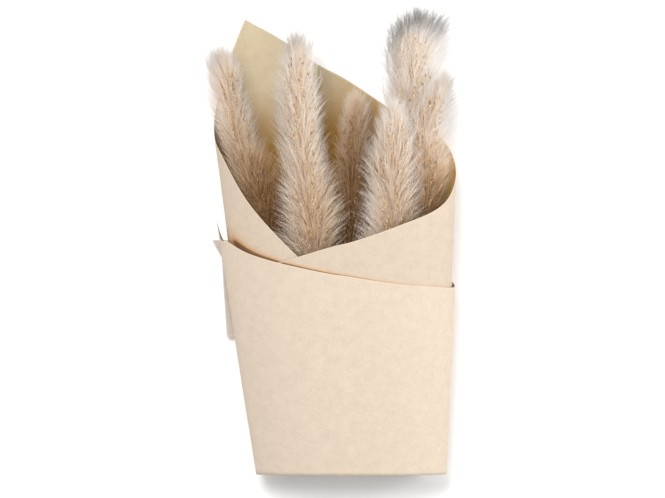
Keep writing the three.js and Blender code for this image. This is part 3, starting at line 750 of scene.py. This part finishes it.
def hair_of(plume, draw):
    """The hairs as needles, each with its tone and its place along the colours."""
    lines, edge, angle, pressed = hair_lines(plume, draw)
    x_at, _, _, tip_y = axis_of(plume)
    locks, total = len(edge), len(lines)
    radii = HAIR_RADIUS * draw.uniform(*HAIR_RADII, (total, 1)) * np.array([HAIR_TAPER])
    points, faces = needles(lines, radii)
    end_x, end_y, end_z = lines[:, 2].T
    edge = np.repeat(edge, HAIRS_A_LOCK)
    across = np.repeat(np.cos(angle), HAIRS_A_LOCK)
    front = np.repeat(fade(np.sin(angle), FRONT_SINE, 1), HAIRS_A_LOCK)
    rim = (edge * across) ** 2
    rim_grey = RIM_GREY * fade(end_y, plume["grey_from"], plume["grey_from"] + RIM_GREY_LENGTH) * rim
    left_silver, right_silver, tip_silver = plume["silver"]
    height_at_tip = end_y + TIP_GREY_SLOPE * np.abs(end_x - x_at(end_y)) - tip_y
    tip_grey = fade(height_at_tip, *TIP_GREY_Y) * draw.uniform(*TIP_GREY_SPREAD, total)
    silver = np.where(across < 0, left_silver, right_silver) * rim_grey + tip_silver * tip_grey
    # Painted light: the rims are drawn paler and greyer, the right rim less, fading out low down.
    rim_painted_light = rim * np.where(across > 0, RIGHT_RIM, 1.0) * fade(end_y, 0, RIM_TOP_Y)
    tone = TONE + RIM_TONE * rim_painted_light + silver + LOW_TONE * fade(end_y, *LOW_TONE_Y)
    tone += draw.normal(0, HAIR_TONE_SPREAD, total)
    tone += np.repeat(draw.normal(0, LOCK_TONE_SPREAD, locks), HAIRS_A_LOCK)
    # Painted shade: browner over a dim plume, low down, deep in the bundle, where paper presses, at the low
    # rims and on the right side.
    shade = plume["dim"] + LOW_SHADE * plume["shade"] * fade(end_y, *LOW_SHADE_Y)
    shade += DEEP_SHADE * fade(end_z, *DEEP_Z) * fade(end_y, *DEEP_Y) + PRESSED_SHADE * pressed
    shade += RIM_SHADE * rim * fade(end_y, *RIM_SHADE_Y)
    side_shade, side_top = plume["side_shade"]
    shade += side_shade * edge * np.maximum(across, 0) * fade(end_y, side_top, side_top - SIDE_SHADE_LENGTH)
    lift = LIFT + EDGE_LIFT * edge + RIM_LIFT * rim_painted_light + FRONT_LIFT * front - shade
    lift += draw.normal(0, HAIR_LIFT_SPREAD, total)
    lift += np.repeat(draw.normal(0, LOCK_LIFT_SPREAD, locks), HAIRS_A_LOCK)
    start, end = np.clip(lift + ROOT_V, 0, 1), np.clip(lift + TIP_V, 0, 1)
    return points, faces, strand_uv(len(HAIR_TAPER), 3, np.clip(tone, 0, 1), start, end)


HUSK_LINES, HUSK_STEP = 12, 4.2
HUSKS_FROM, HUSKS_END = 12.0, 26.0          # above the foot and below the tip
HUSK_HEIGHT_SPREAD = 2.4
# A line of husks weaves round the head: how far, in radians, how long, in mm, and how unevenly.
WEAVE, WEAVE_LENGTH, WEAVE_START, WEAVE_SPREAD = 0.35, 17.0, 5, 0.09
HUSK_OUT, HUSK_FRONT_OUT = (0.3, 0.5), 0.25     # shares of the outline a little further up
HUSK_OUTLINE_UP = 8.0
HUSK_LEAN, HUSK_LEAN_SPREAD = 0.3, 0.12
HUSK_LENGTH = (2.8, 4.8)
HUSK_SHARES = (0, 0.3, 0.62, 1)
HUSK_RADII, HUSK_SIZES = (0.28, 0.86, 0.66), (0.75, 1.15)
HUSK_SIDES = 5
# A husk takes painted shade from its plume's shade, low down, and from its dim.
HUSK_TONE, HUSK_SHADE, HUSK_DIM = (0.4, 0.4), 0.9, 2
HUSK_START_V, HUSK_V = (0, 0.25), 0.7


def husks_of(plume, draw):
    """Spikelets: slim closed husks in loose lines up the head, half sunk in the hair."""
    x_at, z_at, foot_y, tip_y = axis_of(plume)
    y = np.arange(foot_y + HUSKS_FROM, tip_y - HUSKS_END, HUSK_STEP)
    angle, height = np.meshgrid(np.arange(HUSK_LINES) * 2 * np.pi / HUSK_LINES, y, indexing="ij")
    weave = WEAVE * np.sin(height / WEAVE_LENGTH + angle * WEAVE_START)
    angle = (angle + weave + draw.normal(0, WEAVE_SPREAD, angle.shape)).ravel()
    height = (height + draw.uniform(-HUSK_HEIGHT_SPREAD, HUSK_HEIGHT_SPREAD, height.shape)).ravel()
    front = np.maximum(np.sin(angle), 0) ** 6
    share = draw.uniform(*HUSK_OUT, len(height)) + HUSK_FRONT_OUT * front
    out = outline_at(plume, height + HUSK_OUTLINE_UP, foot_y, tip_y) * share
    base = round_axis(x_at, z_at, height, out, angle)
    stray = HUSK_LEAN_SPREAD * draw.normal(0, 1, base.shape)
    way = unit(np.array([0.0, 1.0, 0.0]) + HUSK_LEAN * way_out(angle) + stray)
    size = draw.uniform(*HUSK_LENGTH, (len(height), 1))
    lines = np.stack([base + way * size * part for part in HUSK_SHARES], 1)
    lines = kept_in_paper(lines.reshape(-1, 3)).reshape(lines.shape)
    radii = np.array(HUSK_RADII) * draw.uniform(*HUSK_SIZES, (len(height), 1))
    points, faces = needles(lines, radii, HUSK_SIDES)
    # Painted shade: husks low on a shaded plume, or on a dim one, take a browner tone.
    in_shade = HUSK_SHADE * plume["shade"] * fade(height, *LOW_SHADE_Y) + HUSK_DIM * plume["dim"]
    tone = np.clip(draw.normal(*HUSK_TONE, len(lines)) + in_shade, 0, 1)
    start = draw.uniform(*HUSK_START_V, len(lines))
    return points, faces, strand_uv(len(HUSK_RADII), HUSK_SIDES, tone, start, start + HUSK_V)


BRANCH_STOPS = np.linspace(0, 0.85, 5)
BRANCH_RADII = (0.34, 0.28, 0.22, 0.16)
BRANCH_TONE, BRANCH_V = (0.35, 0.2), (0.1, 0.5)
SPINE_STOPS, SPINE_SIDES = 24, 10
SPINE_END = 16.0                # below the tip
SPINE_RADII = (2.2, 0.5)
SPINE_TONE, SPINE_V = 0.1, (0.4, 0.6)


def branches_of(plume, draw):
    """The spine and the thin branches that carry the hair."""
    branches = branch_lines(plume, draw)
    lines = np.stack([along_bend(*branches, share) for share in BRANCH_STOPS], 1)
    lines = kept_in_paper(lines.reshape(-1, 3)).reshape(lines.shape)
    count = len(lines)
    points, faces = needles(lines, np.repeat([BRANCH_RADII], count, 0))
    tone = np.clip(draw.normal(*BRANCH_TONE, count), 0, 1)
    uv = strand_uv(len(BRANCH_RADII), 3, tone, *(np.full(count, v) for v in BRANCH_V))
    x_at, z_at, foot_y, tip_y = axis_of(plume)
    y = np.linspace(foot_y, tip_y - SPINE_END, SPINE_STOPS)
    spine = np.stack([x_at(y), y, z_at(y)], -1)[None]
    rings = SPINE_STOPS - 1
    spine_points, spine_faces = needles(spine, np.linspace(*SPINE_RADII, rings)[None], SPINE_SIDES)
    spine_uv = strand_uv(rings, SPINE_SIDES, *(np.array([value]) for value in (SPINE_TONE, *SPINE_V)))
    return (np.concatenate([spine_points, points]), np.concatenate([spine_faces, faces + len(spine_points)]),
            np.concatenate([spine_uv, uv]))


# Hair and branches draw from the same seed, so that the hair is rooted on the branches.
HEAD_SEED, HUSK_SEED = 4100, 5200
for number, plume in enumerate(PLUMES, start=1):
    made = {
        "hair": (hair_of(plume, np.random.default_rng(HEAD_SEED + number)), pampas_hair),
        "spikelets": (husks_of(plume, np.random.default_rng(HUSK_SEED + number)), pampas_straw),
        "branches": (branches_of(plume, np.random.default_rng(HEAD_SEED + number)), pampas_hair),
    }
    for kind, ((points, faces, uv), material) in made.items():
        piece = mesh_piece(f"plume_{number}_{kind}", points, faces, uv, [material], smooth=kind != "hair")
        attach(piece, "root")
        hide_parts(f"plume_{number}_head")

# ---- Culms ---------------------------------------------------------------------------
# The plumes' own dried stems, 5 mm thick: smooth straw with a slight swelling at each joint,
# cut straight at the lower end.
CULM_RADIUS = 2.4               # at a joint
CULM_BOTTOM_Y = -221.0
CULM_BEND = 60.0
CULM_RINGS = 90
CULM_SIDES = 20
JOINT_SPACING = 71.0
JOINT_SHIFT = 23.0              # from one culm's joints to the next one's
JOINT_SWELL, JOINT_LENGTH = 0.06, 1.6
HEAD_AIM = 30.0                 # above the head's foot, which the culm's top aims at
CULM_TONE, CULM_V = 0.15, (0.05, 0.35)

culm_straw = dried_straw("dried culm straw")
for number, plume in enumerate(PLUMES, start=1):
    x_at, z_at, foot_y, _ = axis_of(plume)
    top, above = (np.array([float(x_at(y)), y, float(z_at(y))]) for y in (foot_y, foot_y + HEAD_AIM))
    rise = unit(above - top)
    low = np.array([plume["cut"][0], CULM_BOTTOM_Y, plume["cut"][1]])
    s = np.linspace(0, 1, CULM_RINGS + 1)[:, None]
    line = (low * (1 - s) ** 3 + 3 * (low + [0, CULM_BEND, 0]) * s * (1 - s) ** 2
            + 3 * (top - rise * CULM_BEND) * s ** 2 * (1 - s) + top * s ** 3)
    height = line[:-1, 1] - CULM_BOTTOM_Y + JOINT_SHIFT * number
    swell = np.exp(-((height % JOINT_SPACING - JOINT_SPACING / 2) / JOINT_LENGTH) ** 2)
    radii = CULM_RADIUS * (1 - JOINT_SWELL + JOINT_SWELL * swell)
    points, faces = needles(line[None], radii[None], CULM_SIDES)
    uv = strand_uv(CULM_RINGS, CULM_SIDES, *(np.array([value]) for value in (CULM_TONE, *CULM_V)))
    culm = mesh_piece(f"plume_{number}_stem", points, faces, uv, [culm_straw])
    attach(culm, "root")
    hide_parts(f"plume_{number}_culm")

# ---- Floor, light and camera -----------------------------------------------------------
# A plain white table, an even white surround, a large soft light from the upper left and a
# weaker one low at the right. The camera looks straight down.
TABLE_SIDE, TABLE_DROP = 8.0, 0.5 * MM
SURROUND_STRENGTH = 0.69
# name, place in metres, side of the square light in metres, watts
LIGHTS = (
    ("soft key", (-0.4, 0.75, 2.0), 1.0, 39),
    ("side fill", (1.7, 0.1, 0.75), 0.8, 19),
)

bpy.ops.mesh.primitive_plane_add(size=TABLE_SIDE, location=(0, 0, -TABLE_DROP))
floor = bpy.context.object
floor.name = "floor"
white, white_tree = shading("plain white table")
white_surface = add_node(white_tree, "ShaderNodeBsdfPrincipled",
                         {"Base Color": (0.93, 0.93, 0.93, 1), "Roughness": 0.9})
add_node(white_tree, "ShaderNodeOutputMaterial", links={"Surface": white_surface.outputs["BSDF"]})
floor.data.materials.append(white)

world = bpy.data.worlds.new("white surround")
world.use_nodes = True
surround = world.node_tree.nodes["Background"]
surround.inputs["Color"].default_value = (1, 1, 1, 1)
surround.inputs["Strength"].default_value = SURROUND_STRENGTH
bpy.context.scene.world = world

for name, place, size, watts in LIGHTS:
    light_data = bpy.data.lights.new(name, "AREA")
    light_data.size = size
    light_data.energy = watts
    light = bpy.data.objects.new(name, light_data)
    light.location = place
    light.rotation_euler = (-Vector(place)).to_track_quat("-Z", "Y").to_euler()
    bpy.context.collection.objects.link(light)

bpy.context.scene.cycles.diffuse_bounces = 8
bpy.context.scene.view_settings.view_transform = "Standard"

FRAME_WIDTH = 0.6464            # metres across the picture at the bundle's mid height
CAMERA_HEIGHT = 5.0
MID_HEIGHT = 0.05
SENSOR_WIDTH = 36
camera_data = bpy.data.cameras.new("camera")
camera_data.sensor_width = SENSOR_WIDTH
camera_data.lens = SENSOR_WIDTH * (CAMERA_HEIGHT - MID_HEIGHT) / FRAME_WIDTH
camera = bpy.data.objects.new("camera", camera_data)
camera.location = (0.0005, -0.0068, CAMERA_HEIGHT)
bpy.context.collection.objects.link(camera)
bpy.context.scene.camera = camera
